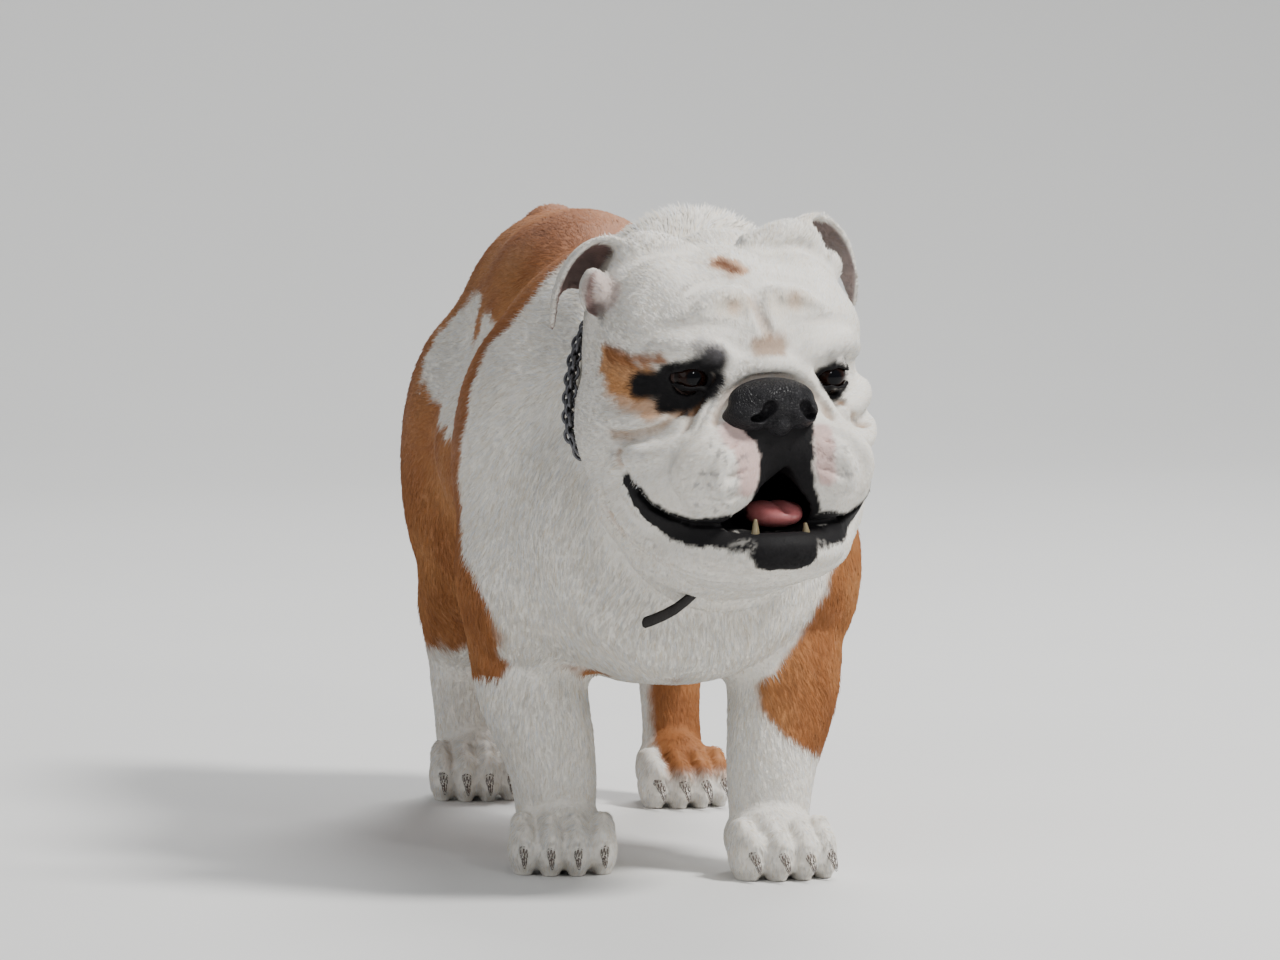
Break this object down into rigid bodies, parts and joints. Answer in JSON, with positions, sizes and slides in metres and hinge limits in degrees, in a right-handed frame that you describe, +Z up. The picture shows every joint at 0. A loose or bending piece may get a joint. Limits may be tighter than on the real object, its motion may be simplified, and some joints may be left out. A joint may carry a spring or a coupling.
{
  "type": "english bulldog",
  "caption": "Life-size still model of a standing English bulldog in mid step, head turned to its left, mouth open, in a chain collar.",
  "frame": {"origin": "centre of the bounding box in plan, on the floor that the paws stand on", "axes": "+Z up; -Y the way the body faces, so the tail is at +Y; +X towards the dog's own left"},
  "size_m": [0.2648, 0.6724, 0.4294],
  "materials": {
    "white_coat": "short white fur",
    "brown_coat": "short red-brown fur",
    "eye": "wet dark brown eye",
    "nose_leather": "moist black nose leather",
    "tongue": "wet pink tongue",
    "claw_horn": "smooth dark horn",
    "steel_chain": "dark polished steel",
    "strap_leather": "black leather"
  },
  "bodies": {
    "root": {"claw_front_left_1": "claw_horn", "claw_front_left_2": "claw_horn", "claw_front_left_3": "claw_horn", "claw_front_left_4": "claw_horn", "claw_front_right_1": "claw_horn", "claw_front_right_2": "claw_horn", "claw_front_right_3": "claw_horn", "claw_front_right_4": "claw_horn", "claw_hind_left_1": "claw_horn", "claw_hind_left_2": "claw_horn", "claw_hind_left_3": "claw_horn", "claw_hind_left_4": "claw_horn", "claw_hind_right_1": "claw_horn", "claw_hind_right_2": "claw_horn", "claw_hind_right_3": "claw_horn", "claw_hind_right_4": "claw_horn", "collar_chain": "steel_chain", "collar_strap": "strap_leather", "ear_left": "white_coat", "ear_right": "white_coat", "eye_left": "eye", "eye_right": "eye", "head": "white_coat", "leg_front_left": "white_coat", "leg_front_right": "white_coat", "leg_hind_left": "brown_coat", "leg_hind_right": "brown_coat", "neck": "white_coat", "nose": "nose_leather", "tail": "brown_coat", "tongue": "tongue", "torso": "brown_coat"}
  },
  "joints": []
}
